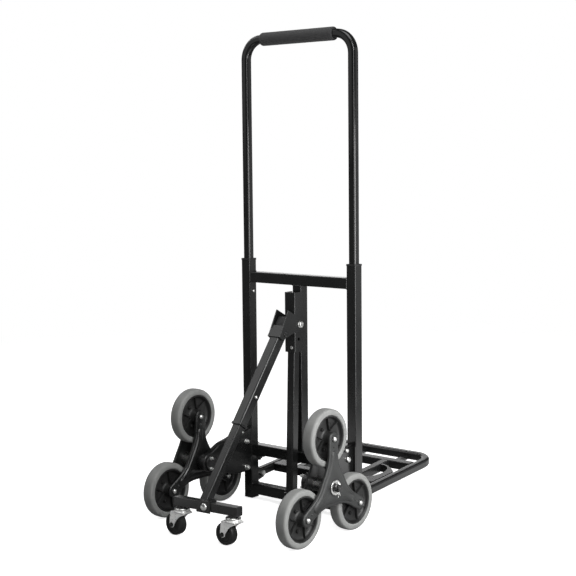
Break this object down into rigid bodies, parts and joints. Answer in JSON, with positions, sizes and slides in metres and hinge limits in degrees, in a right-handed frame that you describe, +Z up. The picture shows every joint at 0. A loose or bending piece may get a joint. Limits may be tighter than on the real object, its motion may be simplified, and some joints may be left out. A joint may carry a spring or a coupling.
{
  "type": "stair climbing trolley",
  "caption": "Folding hand trolley with three-wheel star climbers, telescoping handle, fold-up tubular toe plate and a rear strut on swivel casters.",
  "frame": {"origin": "on the floor at the centre of the trolley's bounding box", "axes": "+X across the width, +Y forwards over the toe plate, +Z up along the posts"},
  "size_m": [0.476, 0.6792, 1.1115],
  "materials": {
    "black_coat": "semi-gloss black powder coat",
    "star_coat": "semi-gloss charcoal powder coat",
    "zinc": "bright zinc plating",
    "polished_yoke": "bright plated pressed steel",
    "steel_button": "polished steel",
    "black_plastic": "moulded black plastic",
    "caster_black": "hard black plastic",
    "grip_foam": "black foam rubber",
    "grey_tyre": "grey soft rubber tread",
    "wheel_core": "black moulded plastic"
  },
  "bodies": {
    "frame": {"outer_posts": "black_coat", "crossbars": "black_coat", "centre_post": "black_coat", "post_collars": "black_plastic", "post_plugs": "black_plastic", "strut_bracket": "black_coat", "rear_tube": "black_coat", "rear_tube_foot": "black_coat", "axle_arms": "black_coat", "stub_axles": "zinc", "arm_bolts": "zinc", "axle_nuts": "zinc", "cotter_pins": "zinc", "bracket_bolts": "zinc", "toe_hinge_brackets": "black_coat", "toe_hinge_bolts": "zinc", "crossbar_pads": "black_coat"},
    "handle": {"handle_tube": "black_coat", "handle_grip": "grip_foam", "leg_sliders": "black_plastic"},
    "snap_left": {"snap_button_left": "steel_button"},
    "snap_right": {"snap_button_right": "steel_button"},
    "toe_plate": {"toe_frame": "black_coat", "toe_bars": "black_coat", "toe_gussets": "black_coat", "toe_screws": "zinc"},
    "strut": {"strut_tube": "black_coat", "strut_cap": "black_plastic", "strut_clevis": "black_coat", "strut_bolt": "zinc"},
    "strut_snap": {"strut_button": "steel_button"},
    "strut_leg": {"strut_inner_tube": "black_coat", "t_bar": "black_coat", "t_bar_saddle": "black_coat", "t_bar_caps": "black_plastic", "t_bar_hardware": "zinc"},
    "caster_left": {"caster_yoke_left": "polished_yoke", "caster_axle_left": "zinc"},
    "caster_roller_left": {"caster_wheel_left": "caster_black"},
    "star_left": {"star_plates_left": "star_coat", "star_hub_left": "zinc", "star_fasteners_left": "zinc"},
    "wheel_left_1": {"tyre_left_1": "grey_tyre", "core_left_1": "wheel_core"},
    "wheel_left_2": {"tyre_left_2": "grey_tyre", "core_left_2": "wheel_core"},
    "wheel_left_3": {"tyre_left_3": "grey_tyre", "core_left_3": "wheel_core"},
    "caster_right": {"caster_yoke_right": "polished_yoke", "caster_axle_right": "zinc"},
    "caster_roller_right": {"caster_wheel_right": "caster_black"},
    "star_right": {"star_plates_right": "star_coat", "star_hub_right": "zinc", "star_fasteners_right": "zinc"},
    "wheel_right_1": {"tyre_right_1": "grey_tyre", "core_right_1": "wheel_core"},
    "wheel_right_2": {"tyre_right_2": "grey_tyre", "core_right_2": "wheel_core"},
    "wheel_right_3": {"tyre_right_3": "grey_tyre", "core_right_3": "wheel_core"}
  },
  "joints": [
    {"name": "handle_slide", "type": "slide", "parent": "frame", "child": "handle", "axis": [0, 0, 1], "range_m": [-0.44, 0]},
    {"name": "snap_left_press", "type": "slide", "parent": "frame", "child": "snap_left", "axis": [-1, 0, 0], "range_m": [0, 0.003], "stiffness_N_per_m": 600},
    {"name": "snap_right_press", "type": "slide", "parent": "frame", "child": "snap_right", "axis": [1, 0, 0], "range_m": [0, 0.003], "stiffness_N_per_m": 600},
    {"name": "toe_plate_fold", "type": "hinge", "parent": "frame", "child": "toe_plate", "pos_m": [0, 0.0441, 0.0564], "axis": [1, 0, 0], "range_deg": [0, 84.8]},
    {"name": "strut_fold", "type": "hinge", "parent": "frame", "child": "strut", "pos_m": [0, -0.0059, 0.44], "axis": [1, 0, 0], "range_deg": [0, 34]},
    {"name": "strut_slide", "type": "slide", "parent": "strut", "child": "strut_leg", "axis": [0, -0.599, -0.8007], "range_m": [-0.1, 0]},
    {"name": "strut_snap_press", "type": "slide", "parent": "strut", "child": "strut_snap", "axis": [-1, 0, 0], "range_m": [0, 0.003], "stiffness_N_per_m": 600},
    {"name": "caster_swivel_left", "type": "hinge", "parent": "strut_leg", "child": "caster_left", "pos_m": [-0.05973, -0.321, 0.057], "axis": [0, 0, 1], "continuous": true},
    {"name": "caster_roll_left", "type": "hinge", "parent": "caster_left", "child": "caster_roller_left", "pos_m": [-0.07973, -0.321, 0.025], "axis": [0, 1, 0], "continuous": true},
    {"name": "star_turn_left", "type": "hinge", "parent": "frame", "child": "star_left", "pos_m": [-0.1975, -0.1417, 0.11635], "axis": [1, 0, 0], "continuous": true},
    {"name": "wheel_roll_left_1", "type": "hinge", "parent": "star_left", "child": "wheel_left_1", "pos_m": [-0.1975, -0.1417, 0.22205], "axis": [1, 0, 0], "continuous": true},
    {"name": "wheel_roll_left_2", "type": "hinge", "parent": "star_left", "child": "wheel_left_2", "pos_m": [-0.1975, -0.23324, 0.0635], "axis": [1, 0, 0], "continuous": true},
    {"name": "wheel_roll_left_3", "type": "hinge", "parent": "star_left", "child": "wheel_left_3", "pos_m": [-0.1975, -0.05016, 0.0635], "axis": [1, 0, 0], "continuous": true},
    {"name": "caster_swivel_right", "type": "hinge", "parent": "strut_leg", "child": "caster_right", "pos_m": [0.07973, -0.3088, 0.057], "axis": [0, 0, 1], "continuous": true},
    {"name": "caster_roll_right", "type": "hinge", "parent": "caster_right", "child": "caster_roller_right", "pos_m": [0.05973, -0.3088, 0.025], "axis": [0, 1, 0], "continuous": true},
    {"name": "star_turn_right", "type": "hinge", "parent": "frame", "child": "star_right", "pos_m": [0.1975, -0.1417, 0.11635], "axis": [1, 0, 0], "continuous": true},
    {"name": "wheel_roll_right_1", "type": "hinge", "parent": "star_right", "child": "wheel_right_1", "pos_m": [0.1975, -0.1417, 0.22205], "axis": [1, 0, 0], "continuous": true},
    {"name": "wheel_roll_right_2", "type": "hinge", "parent": "star_right", "child": "wheel_right_2", "pos_m": [0.1975, -0.23324, 0.0635], "axis": [1, 0, 0], "continuous": true},
    {"name": "wheel_roll_right_3", "type": "hinge", "parent": "star_right", "child": "wheel_right_3", "pos_m": [0.1975, -0.05016, 0.0635], "axis": [1, 0, 0], "continuous": true}
  ]
}
